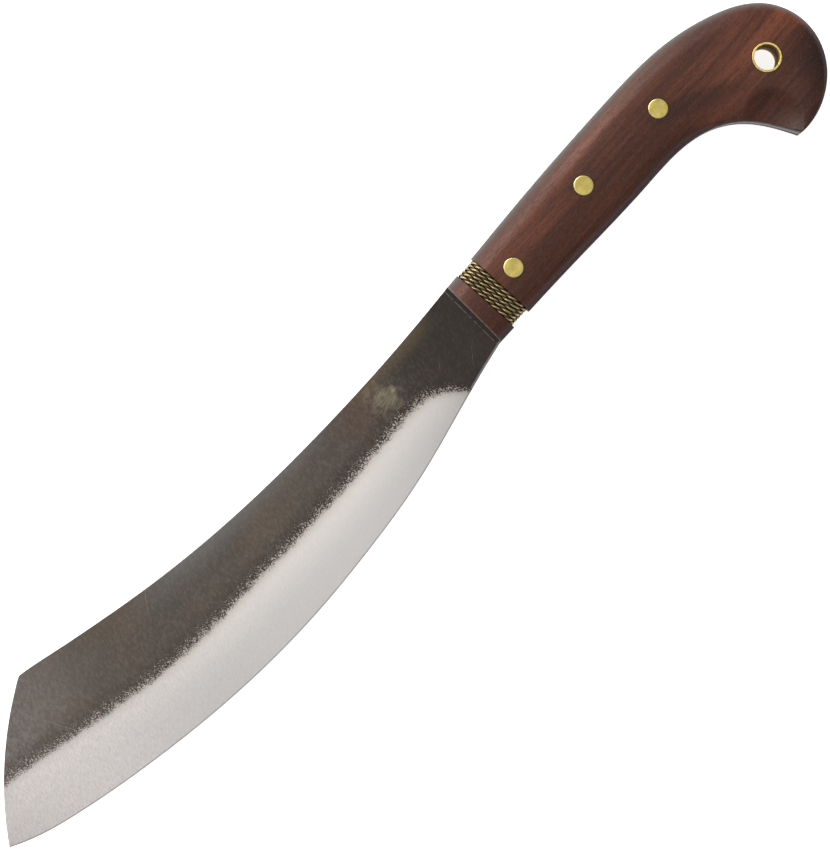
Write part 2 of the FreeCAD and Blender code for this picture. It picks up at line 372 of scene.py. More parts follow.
def handleColumns():
    # one entry for each section across the handle, from its front to the point of the beak
    wireLow, wireHigh = (corner.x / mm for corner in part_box("wire_wrap"))
    grooveBack, grooveFront = wireLow - handle["grooveGap"], wireHigh + handle["grooveGap"]
    lean = bellyLine[0, 0]
    throat = float(bellyLine[np.argmin(np.abs(bellyLine[:, 0] - handle["throatAt"])), 0])
    ease = [0, 0.06, 0.15, 0.3, 0.5, 0.75]   # steps over a rounding, close together where it is steep
    columns = []

    def toThroat(line):
        # how many points the line has before the throat; its last tenth comes back past it
        return int(np.argmin(np.abs(line[:, 0] - throat)[:len(line) * 9 // 10])) + 1

    def onLine(line, x):
        straight = line[:toThroat(line)]
        return np.interp(-x, -straight[:, 0], straight[:, 1])

    def add(x, inset, core=False, shift=0.0):
        if core:
            outer, inner = (x, -handle["coreY"]), (x, handle["coreY"])
        else:
            outer = (x - shift, onLine(backLine, x))
            inner = (x + shift, onLine(bellyLine, x))
        columns.append({"outer": outer, "inner": inner, "inset": inset, "core": core, "beak": 0.0})

    def rounding(away, radius):
        return radius - math.sqrt(max(radius ** 2 - (radius - min(away, radius)) ** 2, 0))

    frontStops = [-a * handle["frontRound"] / ease[-1] for a in ease]
    for x in frontStops + list(np.arange(-1.5, grooveFront + 1, -0.7)):
        add(x, rounding(-x, handle["frontRound"]), shift=lean * (1 - x / grooveFront))
    for a in reversed(ease):
        away = a * handle["grooveRound"] / ease[-1]
        add(grooveFront + away, rounding(away, handle["grooveRound"]))
    for x in np.linspace(grooveFront, grooveBack, 5):
        add(x, 0, core=True)
    for a in ease:
        away = a * handle["grooveRound"] / ease[-1]
        add(grooveBack - away, rounding(away, handle["grooveRound"]))
    for x in np.linspace(grooveBack - 0.6, throat, 110):
        add(x, 0)
    backAt, bellyAt = lengthAlong(backLine), lengthAlong(bellyLine)
    backStart, bellyStart = backAt[toThroat(backLine) - 1], bellyAt[toThroat(bellyLine) - 1]
    shares = np.linspace(0, 1, 121)[1:]
    outers = alongLine(backLine, backStart + (backAt[-1] - backStart) * shares)
    inners = alongLine(bellyLine, bellyStart + (bellyAt[-1] - bellyStart) * shares)
    for outer, inner, share in zip(outers, inners, shares):
        places = {"outer": outer[:2], "inner": inner[:2]}
        columns.append({**places, "inset": 0.0, "core": False, "beak": float(share)})
    return columns


def acrossHandle(column, quarter=9, middle=28):
    # points of one section, from the spine over the face to the belly
    outer, inner = np.array(column["outer"], float), np.array(column["inner"], float)
    width = max(float(np.linalg.norm(inner - outer)), 1e-6)
    way = (inner - outer) / width
    outer = outer + way * column["inset"]
    width = max(width - 2 * column["inset"], 1e-6)
    if column["core"]:
        outerRound = innerRound = handle["coreRound"]
        top, crown = handle["coreZ"], 0.0
    else:
        late = max(0.0, column["beak"] * 1.5 - 0.5)   # over the last two thirds of the way to the beak
        outerRound = handle["spineRound"] + (handle["beakRound"] - handle["spineRound"]) * late
        early = min(1.0, column["beak"] * 3)          # over the first third
        innerRound = handle["bellyRound"] + (handle["throatRound"] - handle["bellyRound"]) * early
        top, crown = handle["top"] - column["inset"], handle["crown"] * min(1, width / handle["fullWidth"])
    roomy = 0.45 * width
    outerRound, innerRound = min(outerRound, roomy), min(innerRound, roomy)
    angles = np.linspace(0, math.pi / 2, quarter)
    places = np.concatenate([
        outerRound * (1 - np.cos(angles)),
        np.linspace(outerRound, width - innerRound, middle + 2)[1:-1],
        width - innerRound * (1 - np.cos(angles[::-1]))])
    drops = np.concatenate([
        outerRound * (1 - np.sin(angles)), np.zeros(middle), innerRound * (1 - np.sin(angles[::-1]))])
    height = top - drops - crown * (2 * places / width - 1) ** 2
    points = outer + places[:, None] * way
    return np.column_stack([points, np.maximum(height, handle["tang"] + handle["rimLeft"])])


def dished(points):
    # the shallow thumb dish beside the beak, with its rim blended in
    dish = handle["dish"]
    ball = (dish["radius"] ** 2 + dish["depth"] ** 2) / (2 * dish["depth"])
    offset = points[..., :2] - np.array(dish["centre"])
    offset[..., 0] *= np.where(offset[..., 0] > 0, dish["runOut"], 1)
    away = np.linalg.norm(offset, axis=-1)
    rise = ball - np.sqrt(np.maximum(ball ** 2 - away ** 2, 0))
    floor = handle["top"] - dish["below"] - dish["depth"] + rise
    gap = np.clip((points[..., 2] - floor) / dish["blend"], -1, 1)
    lower = np.minimum(points[..., 2], floor) - dish["blend"] * (1 - np.abs(gap)) ** 2 / 4
    return np.where(away < dish["radius"] + 6, lower, points[..., 2])   # elsewhere the face stays as it is


def scaleGrid():
    grid = np.array([acrossHandle(column) for column in columns])
    grid[..., 2] = dished(grid)
    return grid


def mirrored(grid):
    return grid * np.array([1, 1, -1])


def floatAttribute(piece, name, values):
    made = piece.data.attributes.new(name, "FLOAT", "POINT")
    made.data.foreach_set("value", np.asarray(values, np.float32).ravel())


def cutRound(piece, holes, sides=96):
    # drills round holes, each given as (x, y, radius, lowest z, highest z)
    for x, y, radius, low, high in holes:
        drill = turned("drill", (x, y), [(0, low), (radius, low), (radius, high), (0, high)], sides)
        cleanUp(drill)
        cut = piece.modifiers.new("hole", "BOOLEAN")
        cut.operation = "DIFFERENCE"
        cut.solver = "EXACT"
        cut.object = drill
        settle(piece)
        bpy.data.objects.remove(drill)


def settle(piece):
    # keeps the shape that the modifiers make, as a plain mesh
    bpy.context.view_layer.update()
    shaped = piece.evaluated_get(bpy.context.evaluated_depsgraph_get())
    mesh = bpy.data.meshes.new_from_object(shaped)
    piece.modifiers.clear()
    piece.data = mesh


def place(piece, material, slot, *nodes):
    piece.data.materials.clear()
    piece.data.materials.append(material)
    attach(piece, "root")
    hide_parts(*nodes)


def centreOf(node):
    low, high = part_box(node)
    return (low + high) / 2 / mm


wire = {
    "core": (11.9, 9.8),     # half width and half height of the wood under the wire
    "cornerRound": 4.0,
    "thickness": 1.56,       # over both strands
    "strand": 0.41,
    "strandSides": 12,
    "lay": 6.6,              # one full twist
    "spacing": 0.35,
    "turns": 5,
    "tuck": 5.0,             # how deep the ends go into the wood
    "tuckPlace": 4.0,
    "tuckBend": 0.8,
    "clearance": 0.04,
}


def wirePath(step=0.3):
    # centre line of the twisted wire: out of one hole, round the handle, stepping back on the right side,
    # and into the other hole
    low, high = (corner.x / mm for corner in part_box("wire_wrap"))
    radius = wire["thickness"] / 2
    offset = wire["clearance"] + radius
    y, z = wire["core"][0] + offset, wire["core"][1] + offset
    cornerBend = wire["cornerRound"] + offset
    rounds = np.linspace(high - radius, low + radius, wire["turns"])
    route = [(rounds[0], -wire["tuckPlace"], wire["tuck"] - z), (rounds[0], -wire["tuckPlace"], -z)]
    for x in rounds:
        route += [(x, -y, -z), (x, -y, z), (x, y, z), (x, y, -z)]
    route += [(rounds[-1], wire["tuckPlace"], -z), (rounds[-1], wire["tuckPlace"], wire["tuck"] - z)]
    bends = [wire["tuckBend"]] + [cornerBend] * (len(route) - 4) + [wire["tuckBend"]]
    path = [Vector(route[0])]
    for before, corner, after, bend in zip(route, route[1:], route[2:], bends):
        before, corner, after = Vector(before), Vector(corner), Vector(after)
        back, forward = (before - corner).normalized(), (after - corner).normalized()
        half = back.angle(forward) / 2
        reach = bend / math.tan(half)
        centre = corner + (back + forward).normalized() * (bend / math.sin(half))
        run(path, corner + back * reach, step)
        start, end = corner + back * reach - centre, corner + forward * reach - centre
        count = max(4, int(bend * start.angle(end) / step))
        for k in range(1, count + 1):
            arm = start.slerp(end, k / count)
            path.append(centre + arm * bend / arm.length)
    run(path, Vector(route[-1]), step)
    return path


def run(path, end, step):
    # straight on from the path's last point
    start = path[-1]
    count = max(1, int((end - start).length / step))
    path += [start.lerp(end, k / count) for k in range(1, count + 1)]


def newTree(name, start, numbers):
    # an empty tree with named inputs, and the function that adds nodes to it
    tree = bpy.data.node_groups.new(name, "GeometryNodeTree")
    tree.interface.new_socket(start, in_out="INPUT", socket_type="NodeSocketGeometry")
    for number in numbers:
        tree.interface.new_socket(number, in_out="INPUT", socket_type="NodeSocketFloat")
    tree.interface.new_socket("Finished", in_out="OUTPUT", socket_type="NodeSocketGeometry")

    def node(kind, settings=None, sockets=None):
        made = tree.nodes.new(kind)
        for key, setting in (settings or {}).items():
            setattr(made, key, setting)
        for key, given in (sockets or {}).items():
            if isinstance(given, bpy.types.NodeSocket):
                tree.links.new(given, made.inputs[key])
            else:
                made.inputs[key].default_value = given
        return made
    return tree, node


def endTree(node, geometry, material):
    whole = node("GeometryNodeRealizeInstances", {}, {0: geometry}).outputs[0]
    painted = node("GeometryNodeSetMaterial", {}, {"Geometry": whole, "Material": material}).outputs[0]
    node("NodeGroupOutput", {}, {0: painted})


rivet = {"dome": 0.08, "rimDrop": 0.13, "sides": 72, "rings": 12}


def rivetTree(material):
    # one rivet on each place, its ends slightly domed and dropping away at the rim
    tree, node = newTree("rivetRow", "Places", ("Radius", "Half Length", "Dome", "Rim Drop"))
    given = node("NodeGroupInput").outputs

    def maths(operation, first, second=0.0):
        return node("ShaderNodeMath", {"operation": operation}, {0: first, 1: second}).outputs[0]

    blank = node("GeometryNodeMeshCylinder", {"fill_type": "TRIANGLE_FAN"}, {
        "Vertices": rivet["sides"], "Fill Segments": rivet["rings"], "Radius": given["Radius"],
        "Depth": maths("MULTIPLY", given["Half Length"], 2)}).outputs["Mesh"]
    position = node("GeometryNodeInputPosition").outputs[0]
    height = node("ShaderNodeSeparateXYZ", {}, {0: position}).outputs["Z"]
    level = node("ShaderNodeVectorMath", {"operation": "MULTIPLY"}, {0: position, 1: (1, 1, 0)}).outputs[0]
    fromAxis = node("ShaderNodeVectorMath", {"operation": "LENGTH"}, {0: level}).outputs["Value"]
    share = maths("DIVIDE", fromAxis, given["Radius"])
    spread = maths("SINE", maths("MULTIPLY", share, math.pi / 2))   # crowds the rings towards the rim
    widened = maths("DIVIDE", spread, maths("MAXIMUM", share, 0.001))
    domed = maths("MULTIPLY", maths("POWER", spread, 2), given["Dome"])
    rimmed = maths("MULTIPLY", maths("POWER", spread, 24), given["Rim Drop"])   # felt only near the rim
    dropped = maths("SUBTRACT", given["Half Length"], maths("ADD", domed, rimmed))
    lifted = maths("MULTIPLY", maths("SIGN", height), dropped)
    spreadOut = node("ShaderNodeVectorMath", {"operation": "SCALE"}, {0: level, "Scale": widened}).outputs[0]
    upright = node("ShaderNodeCombineXYZ", {}, {"Z": lifted}).outputs[0]
    moved = node("ShaderNodeVectorMath", {"operation": "ADD"}, {0: spreadOut, 1: upright}).outputs[0]
    shaped = node("GeometryNodeSetPosition", {}, {"Geometry": blank, "Position": moved}).outputs[0]
    row = node("GeometryNodeInstanceOnPoints", {}, {"Points": given["Places"], "Instance": shaped}).outputs[0]
    endTree(node, row, material)
    return tree


def twistTree(material):
    # two strands laid round each other along the path it is given
    tree, node = newTree("twistedStrands", "Path", ("Strand Radius", "Lay Length", "Spacing"))
    given = node("NodeGroupInput").outputs
    radius = given["Strand Radius"]
    curve = node("GeometryNodeMeshToCurve", {}, {0: given["Path"]}).outputs[0]
    evenly = {"Curve": curve, "Length": given["Spacing"]}
    even = node("GeometryNodeResampleCurve", {"mode": "LENGTH"}, evenly).outputs[0]
    untwisted = node("GeometryNodeSetCurveNormal", {}, {0: even}).outputs[0]
    along = node("GeometryNodeSplineParameter").outputs["Length"]
    turn = node("ShaderNodeMath", {"operation": "DIVIDE"}, {0: along, 1: given["Lay Length"]}).outputs[0]
    normal = node("GeometryNodeInputNormal").outputs[0]
    tangent = node("GeometryNodeInputTangent").outputs[0]
    section = {"Resolution": wire["strandSides"], "Radius": radius}
    circle = node("GeometryNodeCurvePrimitiveCircle", {"mode": "RADIUS"}, section).outputs[0]
    join = node("GeometryNodeJoinGeometry")
    for phase in (0, math.pi):
        twist = {0: turn, 1: -2 * math.pi, 2: phase}
        angle = node("ShaderNodeMath", {"operation": "MULTIPLY_ADD"}, twist).outputs[0]
        about = {"Vector": normal, "Axis": tangent, "Angle": angle}
        way = node("ShaderNodeVectorRotate", {"rotation_type": "AXIS_ANGLE"}, about).outputs[0]
        offset = node("ShaderNodeVectorMath", {"operation": "SCALE"}, {0: way, "Scale": radius}).outputs[0]
        moved = node("GeometryNodeSetPosition", {}, {"Geometry": untwisted, "Offset": offset}).outputs[0]
        swept = {"Curve": moved, "Profile Curve": circle, "Fill Caps": True}
        strand = node("GeometryNodeCurveToMesh", {}, swept).outputs[0]
        tree.links.new(strand, join.inputs[0])
    endTree(node, join.outputs[0], material)
    return tree


def fromTree(name, mesh, tree, sizes):
    # runs a tree on a mesh and keeps the result as a plain mesh
    made = bpy.data.objects.new(name, mesh)
    scene.collection.objects.link(made)
    nodes = made.modifiers.new("shape", "NODES")
    nodes.node_group = tree
    for item in tree.interface.items_tree:
        if item.in_out == "INPUT" and item.name in sizes:
            nodes[item.identifier] = sizes[item.name]
    settle(made)
    return made


columns = handleColumns()
scaleTop = scaleGrid()
print("handle sections", scaleTop.shape)


def seamed(grid, level):
    # the same grid laid flat at one height
    flat = grid.copy()
    flat[..., 2] = level
    return flat


pinNodes = ["front_pin", "middle_pin", "rear_pin"]
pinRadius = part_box("front_pin")[1].x / mm - centreOf("front_pin").x
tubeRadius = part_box("lanyard_tube")[1].x / mm - centreOf("lanyard_tube").x
fit = 0.02     # gap between metal and wood all round
drillEnd = 20  # well clear of the handle's faces
metalRounds = [(centreOf(node), pinRadius) for node in pinNodes] + [(centreOf("lanyard_tube"), tubeRadius)]
throughHoles = [(centre.x, centre.y, radius + fit, -drillEnd, drillEnd) for centre, radius in metalRounds]


def scale(name, side):
    grid = scaleTop if side > 0 else mirrored(scaleTop)
    made = shellOf(name, grid, seamed(grid, side * handle["tang"]))
    cleanUp(made)
    holes = list(throughHoles)
    if side < 0:
        path = wirePath()
        for end in (path[0], path[-1]):
            holes.append((end.x, end.y, wire["thickness"] / 2 + fit, -drillEnd, end.z + fit))
    cutRound(made, holes)
    cleanUp(made, 40)
    # the wall values steer the paint: a painted shade on the belly's steep wall and a painted sheen on the
    # spine's rounding
    normals = np.empty(len(made.data.vertices) * 3)
    made.data.vertex_normals.foreach_get("vector", normals)
    normals = normals.reshape(-1, 3)
    upright = np.clip((0.8 - np.abs(normals[:, 2])) / 0.4, 0, 1)
    sideways = np.clip(normals[:, 1] * 3, -1, 1)
    floatAttribute(made, "wall", upright * sideways)   # 1 on the belly's wall, -1 on the spine's
    return made


blade = {
    "thick": (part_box("blade")[1] / mm).z,
    "spineEase": 0.12,
    "bellyEase": 0.6,
    "crest": 0.1,        # how softly the flat turns into the bevel
    "bevelBulge": 0.15,
    "clip": 49,          # from the tip back to the corner of the spine
}


def bladeGrid():
    # sections across the blade from the handle's front to the point, then the values the paint needs
    thick = blade["thick"]
    grindStart = grindLine[0, 0]
    tip = edgeLine[-1, 0]
    corner = tip - blade["clip"]
    lean = (grindLine[-1] - grindLine[-4]) / np.linalg.norm(grindLine[-1] - grindLine[-4])
    grindOn = np.vstack([grindLine, grindLine[-1] + lean * 40])   # runs on past the point for the paint
    stops = np.concatenate([   # closest where the grind starts, at the spine's corner and at the tip
        [0], np.linspace(0.5, grindStart, 30), grindStart + np.linspace(0, 1, 26)[1:] ** 1.3 * 22,
        np.linspace(grindStart + 23, corner - 2, 150), np.linspace(corner - 1.7, corner + 2, 30),
        np.linspace(corner + 3, tip - 1, 70), tip - np.linspace(1, 0, 8)[1:] ** 1.5])
    grid, fromCrest, toEdge = [], [], []
    for x in stops:
        spine = np.array([np.interp(x, spineLine[:, 0], spineLine[:, k]) for k in (1, 2)])
        edge = np.array([np.interp(x, edgeLine[:, 0], edgeLine[:, k]) for k in (1, 2)])
        if x < 1:   # the front of the handle leans, so its first section joins two different places
            spine[0] = spineLine[0, 1]
        crest = np.interp(x, grindLine[:, 0], grindLine[:, 1]) if x > grindStart else edge[0]
        width = max(edge[0] - spine[0], 1e-4)
        if x > grindLine[-1, 0]:
            crest = spine[0]
        crest = min(max(crest, spine[0]), edge[0])
        belly = min(blade["bellyEase"], 0.2 * width) * float(np.clip(1 - (x - grindStart) / 3, 0, 1))
        ease = min(blade["spineEase"], 0.1 * width)
        flatTo = min(crest, edge[0] - belly)
        flat = np.linspace(min(spine[0] + ease, flatTo), flatTo, 14)
        bevel = np.linspace(flatTo, edge[0], 26)
        across = np.concatenate([[spine[0]], flat[:-1], [max(flat[-1] - blade["crest"], flat[0])], bevel])
        run = np.clip((across - flatTo) / max(edge[0] - flatTo, 1e-6), 0, 1)
        startHeight = spine[1] if x > grindLine[-1, 0] else thick
        fall = startHeight - edge[1]
        if x < grindStart:
            fall = belly
        height = startHeight - fall * (run - blade["bevelBulge"] * run * (1 - run))
        height[0] = startHeight - ease if startHeight > thick - 0.05 else startHeight
        grid.append(np.column_stack([np.full(len(across), x), across, height]))
        paintedCrest = np.interp(x, grindOn[:, 0], grindOn[:, 1])
        fromCrest.append(across - paintedCrest if x > grindStart else across - edge[0] - 3)
        toEdge.append(edge[0] - across)
    return np.array(grid), np.array(fromCrest), np.array(toEdge)


def tangGrid(shares):
    # the tang follows the handle's own sections, with a flat face
    grid = []
    for column in columns:
        outer, inner = np.array(column["outer"], float), np.array(column["inner"], float)
        points = outer + (inner - outer) * shares[:, None]
        grid.append(np.column_stack([points, np.full(len(shares), blade["thick"])]))
    return np.array(grid)


def makeBlade():
    grid, fromCrest, toEdge = bladeGrid()
    shares = (grid[0, :, 1] - grid[0, 0, 1]) / np.ptp(grid[0, :, 1])
    lean = edgeLine[0, 0] * np.clip(1 - grid[:, :1, 0] / 8, 0, 1) * (2 * shares - 1)
    grid[..., 0] += lean
    tang = tangGrid(shares)[::-1]
    top = np.concatenate([tang, grid])
    made = shellOf("bladeSteel", top, mirrored(top))
    far = np.full(tang.shape[:2], 99.0)   # the tang has neither bevel nor edge
    for name, onTang, onBlade in (("pastCrest", -far, fromCrest), ("toEdge", far, toEdge)):
        values = np.concatenate([onTang, onBlade]).ravel()
        floatAttribute(made, name, np.concatenate([values, values]))
    cleanUp(made, 30)
    cutRound(made, [(x, y, radius - fit, low, high) for x, y, radius, low, high in throughHoles])
    cleanUp(made, 30)
    return made


def roundedRing(outer, inner, top, ease, steps=5):
    # closed profile of a ring with eased corners, as (radius, height)
    corners = [(outer, top, 0), (inner, top, 90), (inner, -top, 180), (outer, -top, 270)]
    profile = []
    for radius, height, start in corners:
        sideways = -1 if radius == outer else 1
        upwards = -1 if height > 0 else 1
        for k in range(steps + 1):
            angle = math.radians(start + 90 * k / steps)
            around, over = ease * math.cos(angle), ease * math.sin(angle)
            profile.append((radius + ease * sideways + around, height + ease * upwards + over))
    return profile


tube = {"wall": 0.8, "ease": 0.16, "sides": 96}


def makeTube():
    centre = centreOf("lanyard_tube")
    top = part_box("lanyard_tube")[1].z / mm
    profile = roundedRing(tubeRadius, tubeRadius - tube["wall"], top, tube["ease"])
    made = turned("tubeLiner", (centre.x, centre.y), profile, tube["sides"])
    cleanUp(made, 50)
    return made


def rivets(material):
    # flush with the wood, one piece for the row
    places = bpy.data.meshes.new("rivetPlaces")
    places.from_pydata([Vector((centreOf(node).x, centreOf(node).y, 0)) * mm for node in pinNodes], [], [])
    sizes = {
        "Radius": pinRadius * mm, "Half Length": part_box("front_pin")[1].z,
        "Dome": rivet["dome"] * mm, "Rim Drop": rivet["rimDrop"] * mm}
    made = fromTree("rivets", places, rivetTree(material), sizes)
    cleanUp(made, 50)
    return made


steelShades = {
    "brownScale": (87, 75, 64), "greyScale": (77, 70, 63),
    "spineSheen": (116, 117, 116), "pointBrown": (124, 116, 110), "pointGrey": (134, 131, 132),
    "besideBevel": (50, 42, 37), "nearHandle": (42, 35, 30), "bronze": (104, 88, 64),
    "warmSpot": (88, 66, 54), "wornPatch": (158, 144, 116), "scratch": (170, 166, 160),
    "frontScuff": (150, 142, 132), "bellyEase": (150, 144, 146), "mottle": (136, 128, 120),
    "bevelHighlight": (226, 220, 212), "greyBevel": (210, 206, 202), "pointBevel": (238, 230, 224),
    "underLine": (172, 159, 144), "beltMarks": (186, 180, 177), "edgeShade": (150, 147, 146),
    "tangRim": (92, 86, 86),
}


def steelPaint():
    p = Paint("forgedSteel")
    shades = steelShades
    past = p.attribute("pastCrest")
    fine = p.noise(2.2, stretch=(0.8, 1.7, 1), turn=14, detail=4, roughness=0.7)
    wisps = p.noise(2.6, stretch=(0.7, 2.2, 1), turn=8, detail=2, shift=(60, 0, 0)) - 0.5
    drift = p.noise(0.25, detail=2) - 0.5
    ground = p.ease(past + p.ease(fine, 0.47, 0.68) * 4.8 + wisps * 4 + drift * 3, 0.7, 2.3)

    # dark forge scale: brown and grey clouds, darkest beside the bevel, greyer towards the point, with a
    # painted bluish-grey sheen near the spine
    cloud = p.noise(0.035, stretch=(1.6, 1, 1), detail=4, roughness=0.55)
    spineSheen = p.ease(past, -27, -13, 1, 0) * p.ease(p.x, 45, 85) * p.ease(p.x, 120, 175, 1, 0)
    mottle = p.noise(1.1, stretch=(1, 2, 1), turn=-20, detail=4, roughness=0.75)
    rub = p.noise(1.7, stretch=(9, 0.5, 1), turn=8, detail=4, roughness=0.75)
    patch = p.ease(p.away(45.5, -3) + drift * 14, 0.5, 8, 1, 0)
    scratch = p.ease(p.noise(0.35, stretch=(0.25, 14, 1), turn=24, detail=1), 0.74, 0.8)
    scratch = scratch + p.ease(p.noise(0.35, stretch=(0.25, 9, 1), turn=-40, detail=1), 0.74, 0.8)
    scuff = p.within(p.x - p.y * 0.05, 1.55, 1.7, 0.12) * p.ease(p.noise(0.5, detail=3), 0.4, 0.6)
    scaleColour = p.mix(p.ease(cloud, 0.35, 0.65), shade(*shades["brownScale"]), shade(*shades["greyScale"]))
    scaleColour = p.coats(scaleColour, shades, {
        "spineSheen": spineSheen * 0.75,
        "pointBrown": p.ease(p.x, 175, 215) * p.ease(p.y, -20, -8, 0.35, 0.1),
        "pointGrey": p.ease(p.x, 190, 250) * p.ease(mottle, 0.38, 0.66) * 0.6,
        "besideBevel": p.ease(past, -9, 0) * p.ease(p.x, 90, 210, 0.8, 0.45),
        "nearHandle": p.ease(p.x, 16, 80, 1, 0) * 0.9,
        "bronze": p.within(p.x, 22, 48, 14) * p.ease(p.y, -14, -5, 1, 0) * 0.6,
        "warmSpot": p.ease(p.away(58, -9), 4, 17, 1, 0) * 0.45,
        "wornPatch": patch * p.ease(rub, 0.36, 0.64) * 0.85,
        "scratch": scratch * 0.2,
        "frontScuff": scuff * 0.45,
        "bellyEase": p.within(past, -3.7, -2.9, 0.1) * p.ease(p.x, 20.5, 21.5, 1, 0) * 0.7,
        "mottle": p.ease(mottle, 0.4, 0.7) * p.ease(p.x, 15, 50, 0.06, 0.2),
    })

    # bare bevel: a painted creamy highlight just under the line, fading greyer to the edge, with the belt's
    # fine marks
    belt = p.noise(1.8, stretch=(0.5, 3, 1), turn=-22, detail=4, roughness=0.7)
    bevelColour = p.mix(p.ease(past, 3, 17), shade(*shades["bevelHighlight"]), shade(*shades["greyBevel"]))
    bevelColour = p.coats(bevelColour, shades, {
        "pointBevel": p.ease(p.x, 150, 240) * 0.85,
        "underLine": p.ease(past, -3, 5.5, 0.95, 0),
        "beltMarks": p.ease(belt, 0.35, 0.68) * p.ease(p.x, 90, 210, 0.22, 0.55),
        # painted shade: a thin dark line along the cutting edge
        "edgeShade": p.ease(p.attribute("toEdge"), 0.25, 0.8, 1, 0) * 0.7,
    })

    bare = p.ease(p.x, -1.2, -0.6, 1, 0)   # the tang's rim, sanded flush with the wood
    colour = p.coats(p.mix(ground, scaleColour, bevelColour), shades, {"tangRim": bare})
    grit = p.noise(2.4, detail=3, roughness=0.7)
    rough = p.ease(ground, 0, 1, 0.52, 0.4) + (grit - 0.5) * 0.12
    metal = p.math("MAXIMUM", ground, bare) * 0.75 + 0.25
    height = grit * 0.35 + belt * 0.6 * ground + fine * 0.8
    return p.finish(
        Base_Color=colour, Metallic=metal, Roughness=rough, Specular_IOR_Level=0.25,
        Normal=p.bump(height, 0.25, 0.00012))


woodShades = {
    "dark": (72, 35, 20), "red": (116, 64, 42),
    "darkStreak": (46, 26, 15), "lightStreak": (126, 74, 44), "grainLine": (44, 22, 15),
    "belly": (50, 25, 12), "swath": (42, 21, 14), "spineHighlight": (84, 60, 48), "butt": (34, 18, 13),
    "beakEnd": (24, 14, 11), "collarEdge": (48, 22, 16), "fleck": (134, 78, 46), "pore": (32, 16, 11),
    "spineWallSheen": (66, 56, 47), "bellyWall": (46, 36, 40), "grooveShadeAndGrime": (20, 13, 10), "frontWear": (150, 138, 130),
}


def woodPaint():
    p = Paint("oiledHardwood")
    wander = (p.noise(0.012, stretch=(2, 1, 1), detail=2) - 0.5) * 14
    place = p.vector(p.x, p.y + wander, p.z)
    clouds = p.noise(0.07, stretch=(7, 1, 2), detail=3, at=place)
    streaks = p.noise(0.55, stretch=(26, 1, 2), detail=3, roughness=0.55, at=place)
    lines = p.noise(1.1, stretch=(18, 1, 2), detail=3, roughness=0.6, at=place)
    pores = p.noise(3.4, stretch=(6, 1, 1), detail=2, roughness=0.6)
    fleck = p.noise(2.8, stretch=(4, 1, 1), detail=3, roughness=0.7)
    # the wall attribute marks the steep sides, for painted shade on the belly's wall and a painted sheen on
    # the spine's
    wall = p.attribute("wall")
    bellyWall = p.ease(wall, 0, 1)

    # one broad dark swath lies aslant near the butt: partly a dark streak along the grain, partly painted
    # shade where the face dips towards the throat
    swathX, swathY = p.x + 112, p.y - 8
    acrossSwath = swathY * 0.9 + swathX * 0.43
    alongSwath = swathX * 0.9 - swathY * 0.43
    swath = p.ease(acrossSwath * acrossSwath / 22 + alongSwath * alongSwath / 620, 0, 1, 1, 0)

    # painted shade on the wood under the wire in its groove, and dark grime round the metal
    wireLow, wireHigh = (corner.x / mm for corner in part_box("wire_wrap"))
    inGroove = p.within(p.x, wireLow - 0.1, wireHigh + 0.1, 0.12)
    grooveShadeAndGrime = inGroove * p.ease(cornerDistance(p), 0.5, 2.0, 1, 0)
    for centre, radius in metalRounds:
        grooveShadeAndGrime = p.math("MAXIMUM", grooveShadeAndGrime, p.ease(p.away(centre.x, centre.y), radius, radius + 0.4, 0.8, 0))

    colour = p.mix(p.ease(clouds, 0.3, 0.72), shade(*woodShades["dark"]), shade(*woodShades["red"]))
    colour = p.coats(colour, woodShades, {
        "darkStreak": p.ease(streaks, 0.45, 0.7) * 0.65,
        "lightStreak": p.ease(streaks, 0.28, 0.42, 0.4, 0),
        "grainLine": p.ease(lines, 0.48, 0.7) * 0.35,
        # painted shade: the belly half darker, where the domed face turns away from the light
        "belly": p.ease(p.y, -6, 8) * p.ease(p.x, -125, -95) * 0.6,
        "swath": swath * 0.6,
        # painted highlight: a greyish sheen along the spine side of the grip
        "spineHighlight": p.ease(p.y, -15, -9, 1, 0) * p.ease(p.x, -135, -120) * 0.35,
        "butt": p.ease(p.y, 12, 36) * p.ease(p.x, -128, -104, 1, 0) * 0.75,
        "beakEnd": p.ease(p.away(-158, 32), 4, 17, 0.75, 0),
        "collarEdge": p.ease(p.x, -7.4, -6.4) * 0.4,
        "fleck": p.ease(fleck, 0.48, 0.72) * 0.24,
        "pore": p.ease(pores, 0.52, 0.64) * 0.5,
        # painted sheen on the spine's steep rounding
        "spineWallSheen": p.ease(wall, -0.8, 0, 0.8, 0),
        # painted shade with a violet-grey reflection on the belly's steep wall
        "bellyWall": bellyWall * 0.8,
        "grooveShadeAndGrime": grooveShadeAndGrime,
        "frontWear": p.ease(p.x - p.y * 0.05, -0.5, -0.1) * p.ease(p.noise(0.8, detail=3), 0.3, 0.5) * 0.5,
    })

    openPores = p.ease(pores, 0.56, 0.68)
    rough = bellyWall * 0.4 + 0.47 + (fleck - 0.5) * 0.2 + openPores * 0.15
    height = fleck * 0.5 - openPores
    return p.finish(
        Base_Color=colour, Roughness=rough, Specular_IOR_Level=0.27, Normal=p.bump(height, 0.35, 0.00006))


def cornerDistance(p):
    # how far out from the wood under the wire
    corner = wire["cornerRound"]
    y = p.math("MAXIMUM", p.math("ABSOLUTE", p.y) - (wire["core"][0] - corner), 0)
    z = p.math("MAXIMUM", p.math("ABSOLUTE", p.z) - (wire["core"][1] - corner), 0)
    return (y * y + z * z) ** 0.5 - corner


brassShades = {
    "pin": (204, 184, 104), "pinCloud": (184, 165, 92), "pinLines": (160, 144, 78), "pinRimHighlight": (232, 216, 150),
    "tube": (236, 208, 122), "tubeMarks": (188, 156, 82), "tubeInside": (128, 96, 34),
    "wireDeep": (20, 15, 9), "wireMiddle": (92, 74, 42), "wireTop": (176, 156, 110),
}


